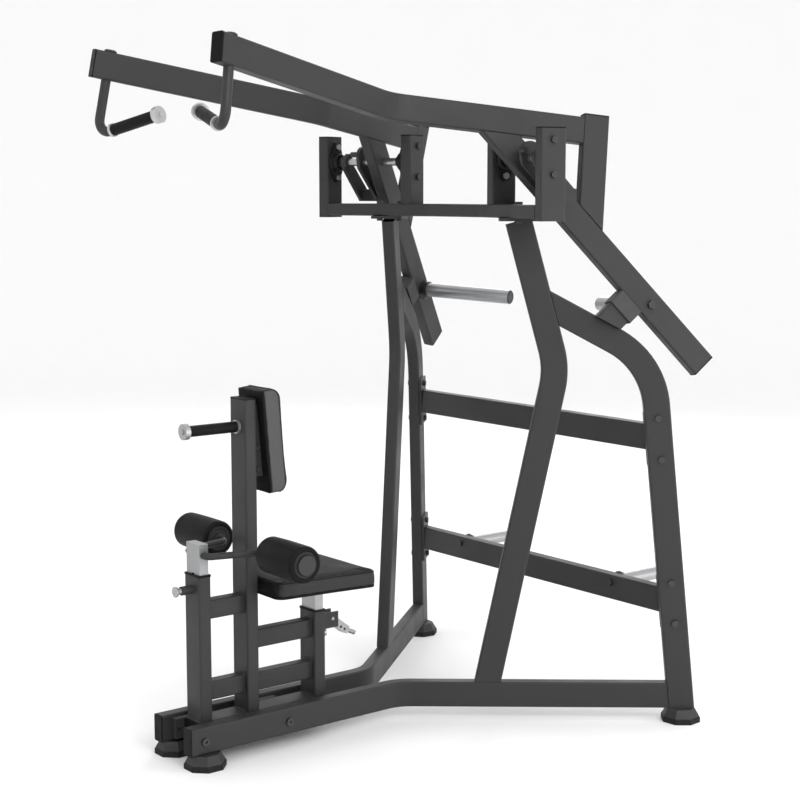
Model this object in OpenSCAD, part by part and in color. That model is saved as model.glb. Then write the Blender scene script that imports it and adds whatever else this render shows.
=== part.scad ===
// Plate-loaded lat pulldown machine with two independent lever arms.
// Millimetres, +Z up, the user faces -Y, +X is the user's left.
// Origin: on the floor, midway across, midway along.

/* [Steel tube] */
// Wide side of every frame tube
tube_w = 80; // [60:5:100]
// Narrow side of every frame tube
tube_d = 40; // [30:5:60]
// Wall of every frame tube
tube_t = 3; // [2:0.5:5]
// Outer corner radius of the tube
tube_r = 6; // [4:0.5:10]
// Centreline radius of the frame bends
bend_r = 250; // [150:10:350]

/* [Base] */
// Floor to the underside of the base rails
foot_h = 42; // [20:1:60]
// Centre of each rail from the middle plane
rail_x = 82; // [70:1:110]
// Rail front end to the point where it splays
splay_y = 754.5; // [600:0.5:900]
// Splay of the rear part of each rail
splay = 39.4; // [20:0.1:50]
// Across the flats of a rubber foot
foot_w = 114; // [80:2:130]

/* [Pivot] */
// Height of the shaft above the rails' underside
pivot_z = 1679; // [1500:1:1800]
// Shaft angle in plan
pivot_yaw = 17; // [0:0.5:25]
// Middle of each shaft, sideways
pivot_x = 374; // [320:1:420]
// Middle of each shaft, from the rails' front
pivot_y = 1002.5; // [900:0.5:1100]
// Post centre to post centre
post_gap = 331; // [280:1:380]
// Shaft diameter
shaft_d = 25; // [20:1:40]

/* [Arm] */
// Arm plane, turn about the vertical
arm_yaw = 22.5; // [10:0.5:30]
// Arm plane, lean of its foot outwards
arm_lean = 8.5; // [0:0.5:12]
// Fall of the beam towards the back
arm_fall = 6.1; // [0:0.1:12]
// Beam, pivot to bend
arm_rear = 412; // [350:2:480]
// Beam, bend to front end
arm_front = 712; // [600:5:800]
// Bend of the beam in plan
arm_bend = 36.9; // [20:0.1:45]
// Slope of the weight lever below level
lever_slope = 48.5; // [40:0.5:60]
// Pivot to the low end of the weight lever
lever_len = 841; // [750:1:900]
// Pivot to the weight horn along the lever
horn_at = 590; // [500:1:700]
// Weight horn diameter
horn_d = 48; // [25:0.5:50]
// Weight horn length
horn_len = 320; // [250:5:400]

/* [Column] */
// Front face of the knee post
knee_y = 72; // [50:1:100]
// Front face of the chest post
chest_y = 233; // [200:1:260]
// Front face of the seat post
seat_y = 472; // [430:1:520]
// Top of the knee post
knee_top = 495; // [400:1:560]
// Top of the chest post
chest_top = 990; // [900:1:1100]
// Top of the seat post
seat_top = 331; // [280:1:360]
// Roller pad diameter
roller_d = 108; // [90:1:140]
// Roller pad length
roller_len = 180; // [150:1:260]

/* [Hidden] */
$fn = 64;
front_y = -786.3;
gap = 0.3;
lap = 1.5;
slim = 0.2;
bore_w = tube_w - 2 * tube_t;
bore_d = tube_d - 2 * tube_t;
cap_t = 4;
plate_t = 9;
bar_z = 1504;
bar_h = tube_d;
up_foot = [280, 80];
up_knee = [481, 1052];
up_head = [362.5, bar_z - plate_t];
rear_vertex = [771, 1074];
rear_foot = [878, 0];
rear_head = [420, 1263];
up_lean = atan2(up_knee[0] - up_head[0], up_head[1] - up_knee[1]);
leg_lean = atan2(rear_foot[0] - rear_vertex[0], rear_vertex[1]);
top_fall = atan2(rear_head[1] - rear_vertex[1], rear_vertex[0] - rear_head[0]);
brace_z = [840, 332];
brace_y = [1378, 1416];
peg_x = 367;
peg_z = 348;
peg_len = 176;
bearing_h = 34;
post_face = post_gap / 2 - tube_d / 2;
slide_w = 69.94;
slide_d = 29.94;
post_wall = 5;
bumper_at = 537;
bumper_t = 50;
ballast_len = 330;
spine_y = 68;
bay_h = 56;
slot_w = 12.4;
seam = 0.02;
beam_z = 104;
strut_y = 228;
strut_top = 151;
arm_s = -34;
grip_vertex = 160;
chest_tilt = 5;
roller_y = 250;
roller_z = 557;
roller_x = 134;
seat_pad_z = 414;

// ---------- profiles and paths ----------

// Rounded rectangle with true corner arcs.
module rr(w, d, r) {
  square([w - 2 * r, d], center = true);
  square([w, d - 2 * r], center = true);
  for (x = [-1, 1], y = [-1, 1]) translate([x * (w / 2 - r), y * (d / 2 - r)]) circle(r);
}

function ang(p, q) = atan2(q[1] - p[1], q[0] - p[0]);
function dist(p, q) = norm([q[0] - p[0], q[1] - p[1]]);
function step(p, q, s) = [p[0] + (q[0] - p[0]) * s / dist(p, q), p[1] + (q[1] - p[1]) * s / dist(p, q)];
function turn(pts, i) = ang(pts[i], pts[i + 1]) - ang(pts[i - 1], pts[i]);
function tang(pts, i, r) = (i <= 0 || i >= len(pts) - 1) ? 0 : r * tan(abs(turn(pts, i)) / 2);

// Sweep the first 2D child round the true arcs of a flat path and the second, a
// hair slimmer, along its straights, which run a little way into the arcs.
module pipe(pts, r) {
  for (i = [0 : len(pts) - 2]) {
    a = step(pts[i], pts[i + 1], max(tang(pts, i, r) - lap, 0));
    b = step(pts[i + 1], pts[i], max(tang(pts, i + 1, r) - lap, 0));
    translate([a[0], a[1], 0])
      rotate([0, 0, ang(pts[i], pts[i + 1])])
        rotate([90, 0, 90]) linear_extrude(dist(a, b)) children(1);
  }
  if (len(pts) > 2) for (i = [1 : len(pts) - 2]) {
    a1 = ang(pts[i - 1], pts[i]);
    t = turn(pts, i);
    k = t > 0 ? 1 : -1;
    s = step(pts[i], pts[i - 1], tang(pts, i, r));
    translate([s[0] - k * r * sin(a1), s[1] + k * r * cos(a1), 0])
      rotate([0, 0, t > 0 ? a1 - 90 : a1 + 90 + t])
        rotate_extrude(angle = abs(t), $fn = 128) translate([r, 0]) children(0);
  }
}

// The same path with both ends run on, for cutting clean through.
function grown(pts, e) = [
  for (i = [0 : len(pts) - 1])
    i == 0 ? step(pts[0], pts[1], -e) :
    i == len(pts) - 1 ? step(pts[i], pts[i - 1], -e) : pts[i]
];

module rect_pipe(pts, r, w, d, c) {
  pipe(pts, r) {
    rr(w, d, c);
    rr(w - slim, d - slim, c - slim / 2);
  }
}

// Round rod along a flat path.
module rod(pts, r, d) {
  pipe(pts, r) {
    circle(d = d);
    circle(d = d - slim);
  }
}

// Hollow rectangular tube along a flat path.
module tube_path(pts, r, w, d) {
  difference() {
    rect_pipe(pts, r, w, d, tube_r);
    rect_pipe(grown(pts, 1), r, w - 2 * tube_t, d - 2 * tube_t, tube_r - tube_t);
  }
}

// Straight hollow tube standing on z = 0.
module box_tube(w, d, h, t = tube_t) {
  difference() {
    linear_extrude(h) rr(w, d, tube_r);
    translate([0, 0, -1]) linear_extrude(h + 2) rr(w - 2 * t, d - 2 * t, max(tube_r - t, 1));
  }
}

// Through bolt on the z axis: head below z = 0, nut above z = grip.
module through_bolt(d, grip) {
  translate([0, 0, -0.6 * d]) cylinder(d = 1.75 * d, h = 0.6 * d, $fn = 6);
  cylinder(d = d, h = grip);
  translate([0, 0, grip]) cylinder(d = 1.75 * d, h = 0.7 * d, $fn = 6);
}

// Screw on the z axis: round head above z = 0.
module cap_screw(d, deep) {
  translate([0, 0, -deep]) cylinder(d = d, h = deep);
  difference() {
    cylinder(d = 1.9 * d, h = 0.5 * d);
    translate([0, 0, 0.25 * d]) cylinder(d = 0.9 * d, h = d, $fn = 6);
  }
}

// ---------- places ----------

module base() {
  translate([0, front_y, foot_h]) children();
}

module side(s) {
  if (s > 0) children();
  else mirror([1, 0, 0]) children();
}

// Side frame plane: x along the splay, y towards the middle, z up.
module frame_plane() {
  translate([rail_x, splay_y, 0]) rotate([0, 0, 90 - splay]) children();
}

// Flat path in the side frame: x along the splay, y up.
module frame_flat() {
  frame_plane() rotate([90, 0, 0]) children();
}

// Shaft frame: x along the shaft outwards, y backwards.
module pivot() {
  translate([pivot_x, pivot_y, pivot_z]) rotate([0, 0, -pivot_yaw]) children();
}

// Arm plane at the shaft: y backwards, z up.
module arm() {
  pivot() translate([arm_s, 0, 0]) rotate([0, 0, pivot_yaw])
    rotate([0, -arm_lean, -arm_yaw]) children();
}

module beam_frame() {
  arm() rotate([-arm_fall, 0, 0]) children();
}

module lever_frame() {
  arm() rotate([-lever_slope, 0, 0]) children();
}

// Half space in front of the back face of the front upright's upper part.
module front_of_upright() {
  frame_plane() translate([up_knee[0], 0, up_knee[1]]) rotate([0, -up_lean, 0])
    translate([tube_w / 2 - 600, -150, -400]) cube([600, 300, 1400]);
}

// Half space in front of the back leg's front face.
module behind_leg() {
  frame_plane() translate([rear_foot[0], 0, rear_foot[1]]) rotate([0, -leg_lean, 0])
    translate([-tube_w / 2, -150, -100]) cube([400, 300, 500]);
}

// Half space under the top face of the rear upright's sloping part.
module under_slope() {
  frame_plane() translate([rear_vertex[0], 0, rear_vertex[1]]) rotate([0, top_fall, 0])
    translate([-600, -200, tube_w / 2 - 400]) cube([900, 400, 400]);
}

// ---------- base and side frames ----------

module base_rail(s) {
  end = [rail_x + 850 * sin(splay), splay_y + 850 * cos(splay)];
  color("#45474a") base() side(s) difference() {
    translate([0, 0, tube_w / 2])
      tube_path([[rail_x, cap_t], [rail_x, splay_y], end], 120, tube_d, tube_w);
    behind_leg();
    for (y = [47, 335]) translate([rail_x - 40, y, 38]) rotate([0, 90, 0]) cylinder(d = 12.6, h = 80);
  }
}

module front_upright(s) {
  color("#45474a") base() side(s) difference() {
    frame_flat() tube_path([step(up_foot, up_knee, -30), up_knee, up_head], bend_r, tube_w, tube_d);
    frame_plane() translate([150, -100, -20]) cube([300, 200, 100]);
    frame_plane() translate([200, -100, bar_z - plate_t]) cube([400, 200, 100]);
  }
}

module rear_upright(s) {
  color("#45474a") base() side(s) difference() {
    frame_flat() tube_path([rear_head, rear_vertex, step(rear_foot, rear_vertex, -20)], bend_r, tube_w, tube_d);
    front_of_upright();
    frame_plane() translate([700, -100, -100]) cube([400, 200, 100]);
    brace_holes(13);
  }
}

// Bolt positions of the brace end plates, along the inward normal.
module brace_holes(d) {
  for (z = brace_z, k = [-1, 1])
    frame_plane() leg_at(z) translate([0, -60, k * 63.5]) rotate([-90, 0, 0]) cylinder(d = d, h = 120);
}

// Place on the back leg's centreline at a height.
module leg_at(z) {
  translate([rear_foot[0] - z * tan(leg_lean), 0, z]) rotate([0, -leg_lean, 0]) children();
}

module pivot_crossbar() {
  tip = post_face;
  ex = pivot_x + tip * cos(pivot_yaw);
  ey = pivot_y - tip * sin(pivot_yaw);
  bx = 130;
  by = pivot_y + (pivot_x - bx) * tan(pivot_yaw);
  color("#45474a") base() difference() {
    translate([0, 0, bar_z + bar_h / 2])
      tube_path([[-ex, ey], [-bx, by], [bx, by], [ex, ey]], 100, tube_w, bar_h);
    for (s = [-1, 1]) side(s) plate_bolts() translate([0, 0, -60]) cylinder(d = 12.6, h = 200);
  }
}

// Bolts joining the crossbar to each front upright's top plate.
module plate_bolts() {
  for (k = [-1, 1]) frame_plane() translate([up_head[0], k * 34, bar_z - plate_t]) children();
}

module joint_plates() {
  color("#45474a") base() for (s = [-1, 1]) side(s) {
    difference() {
      frame_plane() translate([up_head[0] - 58, -50, bar_z - plate_t]) cube([116, 100, plate_t]);
      plate_bolts() translate([0, 0, -5]) cylinder(d = 12.6, h = 20);
    }
    difference() {
      frame_plane() for (z = brace_z) leg_at(z) translate([-tube_w / 2, tube_d / 2, -82]) cube([tube_w, 8, 164]);
      brace_holes(12.6);
    }
  }
}

// Straight cross brace cut to meet the end plates.
module cross_brace(i) {
  difference() {
    translate([-640, brace_y[i], brace_z[i]]) rotate([0, 90, 0]) box_tube(tube_w, tube_d, 1280);
    for (s = [-1, 1]) side(s) frame_plane()
      translate([-200, tube_d / 2 + 8 - 300, brace_z[i] - 150]) cube([1700, 300, 300]);
  }
}

module upper_brace() {
  color("#45474a") base() cross_brace(0);
}

module lower_brace() {
  color("#45474a") base() difference() {
    cross_brace(1);
    for (x = [-peg_x, peg_x]) translate([x, brace_y[1] - 60, peg_z]) rotate([-90, 0, 0]) cylinder(d = 12.6, h = 120);
  }
}

module storage_peg(s) {
  color("#9b9da0") base() side(s) {
    translate([peg_x, brace_y[1] + tube_d / 2, peg_z]) rotate([-90, 0, 0]) {
      cylinder(d = 60, h = 6);
      translate([0, 0, 6]) cylinder(d = 42, h = peg_len - 9);
      translate([0, 0, peg_len - 3]) cylinder(d1 = 42, d2 = 36, h = 3);
    }
    translate([peg_x, brace_y[1] - tube_d / 2, peg_z]) rotate([-90, 0, 0]) {
      cylinder(d = 12, h = tube_d);
      translate([0, 0, -8]) cylinder(d = 21, h = 8, $fn = 6);
    }
  }
}

module frame_bolts() {
  color("#8f9194") base() for (s = [-1, 1]) side(s) {
    plate_bolts() through_bolt(12, plate_t + bar_h);
    for (z = brace_z, k = [-1, 1])
      frame_plane() leg_at(z) translate([0, -tube_d / 2, k * 63.5]) rotate([-90, 0, 0])
        through_bolt(12, tube_d + 8);
    for (y = [47, 335]) translate([rail_x + tube_d / 2, y, 38]) rotate([0, 90, 0]) cap_screw(12, tube_d + 20);
  }
}

module bumper_stubs() {
  color("#45474a") base() for (s = [-1, 1]) side(s) difference() {
    lever_frame() translate([0, bumper_at, -tube_w / 2 - gap - bumper_t - 260]) rotate([0, 0, 90])
      box_tube(tube_w, tube_d, 260);
    under_slope();
  }
}

module bumpers() {
  color("#1d1e20") base() for (s = [-1, 1]) side(s) lever_frame()
    translate([0, bumper_at, -tube_w / 2 - gap - bumper_t]) {
      linear_extrude(bumper_t) rr(56, 90, 5);
    }
}

// ---------- pivot bearings ----------

module bearing_post(x, z0) {
  pivot() translate([x, 0, z0 - pivot_z]) difference() {
    rotate([0, 0, 90]) box_tube(tube_w, tube_d, 1760 - z0);
    for (z = [-49.5, 49.5]) translate([-40, 0, pivot_z - z0 + z]) rotate([0, 90, 0]) cylinder(d = 12.6, h = 80);
  }
}

module outer_posts() {
  color("#45474a") base() for (s = [-1, 1]) side(s) bearing_post(post_gap / 2, 1498);
}

module inner_posts() {
  color("#45474a") base() for (s = [-1, 1]) side(s) bearing_post(-post_gap / 2, bar_z + bar_h);
}

// Two-bolt flange outline, long side along y.
module flange_2d() {
  b = asin((34 - 15.5) / 49.5);
  circle(34);
  for (k = [-1, 1]) translate([0, k * 49.5]) circle(15.5);
  polygon([for (k = [[1, 1], [-1, 1], [-1, -1], [1, -1]], e = k[0] * k[1] > 0 ? [0, 1] : [1, 0])
    e == 0 ? [k[0] * 33.8 * cos(b), k[1] * 33.8 * sin(b)] : [k[0] * 15.3 * cos(b), k[1] * (49.5 + 15.3 * sin(b))]]);
}

// Flange bearing standing on z = 0 with its bore on z.
module flange_bearing() {
  difference() {
    union() {
      linear_extrude(12) flange_2d();
      cylinder(d = 60, h = 22);
      translate([0, 0, 22]) cylinder(d1 = 60, d2 = 52, h = 4);
      cylinder(d = 37, h = bearing_h);
    }
    translate([0, 0, -1]) cylinder(d = shaft_d + 0.1, h = bearing_h + 2);
    for (k = [-1, 1]) translate([0, k * 49.5, -1]) cylinder(d = 12.6, h = 20);
    translate([0, 0, 21]) difference() {
      cylinder(d = 46, h = 8);
      translate([0, 0, -1]) cylinder(d = 37, h = 10);
    }
  }
}

module bearings(s) {
  color("#1d1e20") base() side(s) pivot() {
    translate([post_face, 0, 0]) rotate([0, -90, 0]) rotate([0, 0, 90]) flange_bearing();
    translate([-post_face, 0, 0]) rotate([0, 90, 0]) rotate([0, 0, 90]) flange_bearing();
  }
}

module bearing_bolts() {
  color("#8f9194") base() for (s = [-1, 1], k = [-1, 1]) side(s) pivot() {
    translate([post_face - 12, 0, k * 49.5]) rotate([0, 90, 0]) through_bolt(12, tube_d + 12);
    translate([-post_face + 12, 0, k * 49.5]) rotate([0, -90, 0]) through_bolt(12, tube_d + 12);
  }
}

// ---------- plastic caps of the fixed tubes ----------

// Cap plate with a plug, centred on z = 0, plug below.
module tube_cap(w, d, t) {
  linear_extrude(cap_t) rr(w, d, tube_r);
  translate([0, 0, -18]) linear_extrude(18) rr(w - 2 * t - 0.4, d - 2 * t - 0.4, 2.8);
}

module tube_caps() {
  color("#1a1b1d") base() {
    for (s = [-1, 1]) side(s) {
      translate([rail_x, cap_t, tube_w / 2]) rotate([90, 0, 0]) tube_cap(tube_d, tube_w, tube_t);
      for (x = [-post_gap / 2, post_gap / 2]) pivot() translate([x, 0, 1760 - pivot_z])
        tube_cap(tube_d, tube_w, tube_t);
    }
    translate([0, spine_y, 40]) rotate([90, 0, 0]) tube_cap(tube_w, 60, tube_t);
    translate([0, chest_y + tube_d / 2, chest_top]) tube_cap(tube_w, tube_d, post_wall);
    for (p = [[knee_y, knee_top], [seat_y, seat_top]]) translate([0, p[0] + tube_d / 2, p[1]]) difference() {
      linear_extrude(5) rr(tube_w + 3, tube_d + 3, tube_r);
      translate([0, 0, -1]) linear_extrude(7) rr(slide_w + 0.6, slide_d + 0.6, 1.1);
    }
  }
}

// ---------- centre column ----------

// Bottom tube, its side lugs and the four rails between the posts.
module column_spine() {
  color("#45474a") base() {
    difference() {
      translate([0, spine_y, 40]) rotate([-90, 0, 0]) box_tube(tube_w, 60, 512 - spine_y);
      for (y = [47, 335]) translate([-100, y, 38]) rotate([0, 90, 0]) cylinder(d = 12.6, h = 200);
    }
    for (s = [-1, 1], y = [47, 335]) side(s) difference() {
      translate([tube_w / 2, y - 12, 10]) cube([rail_x - tube_d / 2 - tube_w / 2, 62, 60]);
      translate([tube_w / 2 - 1, y, 38]) rotate([0, 90, 0]) cylinder(d = 12.6, h = 40);
    }
    for (r = [[knee_y, chest_y, 152], [knee_y, chest_y, 392], [chest_y, seat_y, 150], [chest_y, seat_y, 279]])
      translate([0, r[0] + tube_d, r[2]]) rotate([-90, 0, 0]) box_tube(tube_d, bay_h, r[1] - r[0] - tube_d);
  }
}

// Upright tube of the column with its front face at y.
module column_post(y, top) {
  translate([0, y + tube_d / 2, 70]) box_tube(tube_w, tube_d, top - 70, post_wall);
}

module knee_post() {
  color("#45474a") base() difference() {
    union() {
      column_post(knee_y, knee_top);
      translate([0, knee_y, 456]) rotate([90, 0, 0]) cylinder(d = 26, h = 36);
    }
    translate([0, knee_y + 6, 456]) rotate([90, 0, 0]) cylinder(d = 12.1, h = 60);
  }
}

module chest_post() {
  color("#45474a") base() difference() {
    column_post(chest_y, chest_top);
    translate([0, chest_y - 1, 911]) rotate([-90, 0, 0]) cylinder(d = 25.1, h = 30);
  }
}

module seat_post() {
  color("#45474a") base() difference() {
    column_post(seat_y, seat_top);
    translate([0, seat_y + 20, 252]) rotate([-90, 0, 0]) cylinder(d = 12.1, h = 40);
  }
}

// Wedge that carries the chest pad behind the chest post.
module chest_bracket() {
  y0 = chest_y + tube_d;
  color("#45474a") base() difference() {
    translate([-30, 0, 0]) rotate([90, 0, 90]) linear_extrude(60)
      polygon([[y0, 765], [y0, 975], [y0 + 7, 975], [y0 + 7 + 210 * tan(chest_tilt), 765]]);
    chest_bolt_places() translate([0, 0, -70]) cylinder(d = 8.4, h = 80);
  }
}

// Places on the wedge's left face, z outwards.
module chest_bolt_places() {
  for (p = [[12, 785], [9, 850]]) translate([30, chest_y + tube_d + p[0], p[1]]) rotate([0, 90, 0]) children();
}

module chest_bolts() {
  color("#8f9194") base() chest_bolt_places() {
    cap_screw(8, 66);
    translate([0, 0, -67]) cylinder(d = 14, h = 7, $fn = 6);
  }
}

module pad_frame() {
  translate([0, chest_y + tube_d + 7.1, 975]) rotate([chest_tilt, 0, 0]) children();
}

module chest_pad() {
  color("#232427") base() pad_frame()
    translate([-66, 0, -110]) rotate([90, 0, 90]) linear_extrude(132) pad_side(68, 153, 34, 6);
}

// Side view of a pad: x through its thickness t, half height h, rounded r1 towards the user.
module pad_side(t, h, r1, r2) {
  translate([0, r1 - h]) square([t, 2 * (h - r1)]);
  translate([0, r2 - h]) square([t - r1, 2 * (h - r2)]);
  translate([r2, -h]) square([t - r1 - r2, 2 * h]);
  for (k = [-1, 1]) {
    translate([t - r1, k * (h - r1)]) circle(r1);
    translate([r2, k * (h - r2)]) circle(r2);
  }
}

module chest_bar() {
  color("#9b9da0") base() {
    translate([0, chest_y + tube_d - post_wall - 0.5, 911]) rotate([90, 0, 0])
      cylinder(d = 25, h = tube_d - post_wall - 0.5 + 168);
    translate([0, chest_y - 168, 911]) rotate([90, 0, 0]) cylinder(d = 46, h = 15);
    translate([0, chest_y - 183, 911]) rotate([90, 0, 0]) cylinder(d = 16, h = 5, $fn = 6);
    translate([0, chest_y, 911]) rotate([90, 0, 0]) difference() {
      cylinder(d = 40, h = 8);
      translate([0, 0, -1]) cylinder(d = 24, h = 10);
    }
  }
}

module chest_grip() {
  color("#18191b") base() translate([0, chest_y - 8.2, 911]) rotate([90, 0, 0]) difference() {
    cylinder(d = 32, h = 159.6);
    translate([0, 0, -1]) cylinder(d = 25.1, h = 162);
  }
}

// ---------- feet ----------

module foot_places() {
  for (s = [-1, 1]) side(s) {
    translate([rail_x, 58, 0]) children();
    frame_plane() translate([rear_foot[0], 0, 0]) children();
  }
}

module foot_plates() {
  color("#45474a") base() foot_places() translate([0, 0, -24])
    rotate([0, 0, 22.5]) cylinder(d1 = (foot_w - 5) / cos(22.5), d2 = (foot_w - 32) / cos(22.5), h = 24, $fn = 8);
}

module foot_pads() {
  color("#1b1c1e") base() foot_places() translate([0, 0, -foot_h]) rotate([0, 0, 22.5]) {
    cylinder(d = foot_w / cos(22.5), h = foot_h - 28, $fn = 8);
    translate([0, 0, foot_h - 28])
      cylinder(d1 = foot_w / cos(22.5), d2 = (foot_w - 5) / cos(22.5), h = 3.98, $fn = 8);
  }
}

// ---------- lever arms ----------

beam_path = [
  [(arm_front - cap_t) * sin(arm_bend), -arm_rear - (arm_front - cap_t) * cos(arm_bend)],
  [0, -arm_rear],
  [0, strut_y - tube_w / 2]
];
handle_at = [
  (arm_front - 48) * sin(arm_bend),
  -arm_rear - (arm_front - 48) * cos(arm_bend)
];

module arm_beam(s) {
  color("#4a4c4f") base() side(s) beam_frame() difference() {
    translate([0, 0, beam_z]) tube_path(beam_path, 120, tube_d, tube_w);
    translate([handle_at[0], handle_at[1], 0]) cylinder(d = handle_d + 0.1, h = 300);
  }
}

// Half space above the weight lever's upper face.
module under_lever() {
  lever_frame() translate([-100, -600, -560 + tube_w / 2]) cube([200, 1700, 560]);
}

module over_beam() {
  beam_frame() translate([-100, -600, beam_z - tube_w / 2]) cube([200, 900, 400]);
}

module arm_strut(s) {
  color("#4a4c4f") base() side(s) difference() {
    beam_frame() translate([0, strut_y, strut_top - 520]) rotate([0, 0, 90]) box_tube(tube_w, tube_d, 520);
    under_lever();
  }
}

// Lever tube standing on z = 0 whose far end is filled as a counterweight,
// but for a short pocket that takes the end cap.
module weighted_tube(h) {
  difference() {
    linear_extrude(h) rr(tube_w, tube_d, tube_r);
    translate([0, 0, -1]) linear_extrude(h - ballast_len + 1) rr(bore_w, bore_d, tube_r - tube_t);
    translate([0, 0, h - 19]) linear_extrude(20) rr(bore_w, bore_d, tube_r - tube_t);
  }
}

module weight_lever(s) {
  color("#4a4c4f") base() side(s) difference() {
    lever_frame() translate([0, -260, 0]) rotate([-90, 0, 0]) rotate([0, 0, 90])
      weighted_tube(lever_len - cap_t + 260);
    over_beam();
    pivot() translate([-150, 0, 0]) rotate([0, 90, 0]) cylinder(d = shaft_d + 0.06, h = 300);
    lever_frame() translate([-60, horn_at, 0]) rotate([0, 90, 0]) cylinder(d = 16.4, h = 120);
  }
}

module pivot_shaft(s) {
  color("#8f9194") base() side(s) pivot()
    translate([-post_face + 1, 0, 0]) rotate([0, 90, 0]) cylinder(d = shaft_d, h = 2 * post_face - 2);
}

// Stay between the outer end of the shaft and the weight lever.
module shaft_brace(s) {
  color("#4a4c4f") base() side(s) difference() {
    pivot() {
      translate([86, 0, 0]) rotate([0, 90, 0]) {
        cylinder(d = 46, h = 20);
        translate([-20, 0, 0]) cylinder(d = 16, h = 14);
      }
      translate([92, 0, 0]) stay_plate(12, 46, 0, 23);
      translate([24, 0, 0]) stay_plate(12, 66, 18, 32);
      translate([-60, 96, -108]) rotate([0, 90, 0]) linear_extrude(164) rr(40, 40, 5);
      translate([28, -26, 24]) rotate([0, 90, 0]) cylinder(d = 18, h = 30);
    }
    pivot() translate([-150, 0, 0]) rotate([0, 90, 0]) cylinder(d = shaft_d + 0.06, h = 300);
    lever_frame() translate([-tube_d / 2 - 200, -400, -200]) cube([200 + tube_d, 1400, 400]);
  }
}

// Plate from the shaft down to the cross tube, rounded at the shaft.
module stay_plate(t, w, up, r) {
  rotate([90, 0, 90]) linear_extrude(t) {
    translate([0, up]) circle(r);
    polygon([[-r, up], [r, up], [r, 0], [116, -96], [108, -128], [76, -124], [-r * 0.8, -20]]);
  }
}

module weight_horn(s) {
  color("#9b9da0") base() side(s) {
    lever_frame() translate([0, horn_at, 0]) {
      translate([-tube_d / 2 - 18, 0, 0]) rotate([0, 90, 0]) cylinder(d = 64, h = 18);
      translate([-tube_d / 2, 0, 0]) rotate([0, 90, 0]) cylinder(d = 16, h = tube_d);
      translate([tube_d / 2, 0, 0]) rotate([0, 90, 0]) cylinder(d = 27, h = 10, $fn = 6);
    }
    arm() translate([0, horn_at * cos(lever_slope), -horn_at * sin(lever_slope)])
      rotate([0, 5.5, 0]) {
        translate([-tube_d / 2 - 20 - horn_len, 0, 0]) rotate([0, 90, 0]) {
          cylinder(d = horn_d, h = horn_len + 4);
          translate([0, 0, -3]) cylinder(d1 = horn_d - 6, d2 = horn_d, h = 3);
        }
        translate([-tube_d / 2 - 24, 0, 0]) rotate([0, 90, 0]) cylinder(d = 58, h = 12);
      }
  }
}

// Handle: a rod through the beam, one tight bend, then the grip run.
grip_turn = -172;
grip_rise = 20;
grip_run = 240;
handle_d = 28;

module handle_frame() {
  beam_frame() translate([handle_at[0], handle_at[1], beam_z - tube_w / 2 - grip_vertex])
    rotate([0, 0, grip_turn]) children();
}

module handle(s) {
  path = [[0, grip_vertex + tube_w + 3], [0, 0],
    [grip_run * cos(grip_rise), grip_run * sin(grip_rise)]];
  color("#9b9da0") base() side(s) handle_frame() {
    rotate([90, 0, 0]) rod(path, 36, handle_d);
    translate([0, 0, grip_vertex + tube_w]) cylinder(d = 36, h = 4);
    translate([0, 0, grip_vertex + tube_w + 4]) cylinder(d1 = 36, d2 = 28, h = 3);
    rotate([0, -grip_rise, 0]) {
      translate([62, 0, 0]) rotate([0, 90, 0]) cylinder(d = 39, h = 9);
      translate([grip_run - 2, 0, 0]) rotate([0, 90, 0]) {
        cylinder(d = 48, h = 16);
        translate([0, 0, 16]) cylinder(d = 16, h = 4, $fn = 6);
      }
    }
  }
}

module handle_grip(s) {
  color("#18191b") base() side(s) handle_frame() rotate([0, -grip_rise, 0])
    translate([71.2, 0, 0]) rotate([0, 90, 0]) difference() {
      cylinder(d = 34, h = grip_run - 73.6);
      translate([0, 0, -1]) cylinder(d = handle_d + 0.1, h = grip_run);
    }
}

module arm_caps(s) {
  color("#1a1b1d") base() side(s) {
    beam_frame() {
      translate([beam_path[0][0], beam_path[0][1], beam_z]) rotate([0, 0, arm_bend])
        rotate([90, 0, 0]) tube_cap(tube_d, tube_w, tube_t);
      translate([0, strut_y, strut_top]) tube_cap(tube_d, tube_w, tube_t);
    }
    lever_frame() translate([0, lever_len - cap_t, 0]) rotate([-90, 0, 0]) tube_cap(tube_d, tube_w, tube_t);
  }
}

// ---------- knee hold-down ----------

// Bar standing on z = 0 that is built up with a pin slot in its front face: a back slab,
// two face strips and two end fillers. The slot runs from low to high.
module slotted_bar(h, deep, low, high) {
  w = (slide_w - slot_w) / 2;
  for (b = [
    [-slide_w / 2, deep + seam, 0, slide_w, slide_d - deep - seam, h],
    [-slide_w / 2, 0, 0, w, deep, h],
    [slot_w / 2, 0, 0, w, deep, h],
    [seam - slot_w / 2, 0, 0, slot_w - 2 * seam, deep, low],
    [seam - slot_w / 2, 0, high, slot_w - 2 * seam, deep, h - high]
  ]) intersection() {
    linear_extrude(h) rr(slide_w, slide_d, 1);
    translate([b[0], b[1] - slide_d / 2, b[2]]) cube([b[3], b[4], b[5]]);
  }
}

module knee_slider() {
  color("#9b9da0") base() difference() {
    translate([0, knee_y + tube_d / 2, 330]) slotted_bar(259, 12, 18, 174);
    for (k = [0 : 7]) translate([0, knee_y + 10, 496 - 20 * k]) rotate([-90, 0, 0]) cylinder(d = 12.2, h = 12);
    translate([-60, knee_y + tube_d / 2, roller_z]) rotate([0, 90, 0]) cylinder(d = 20.1, h = 120);
  }
}

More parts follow.
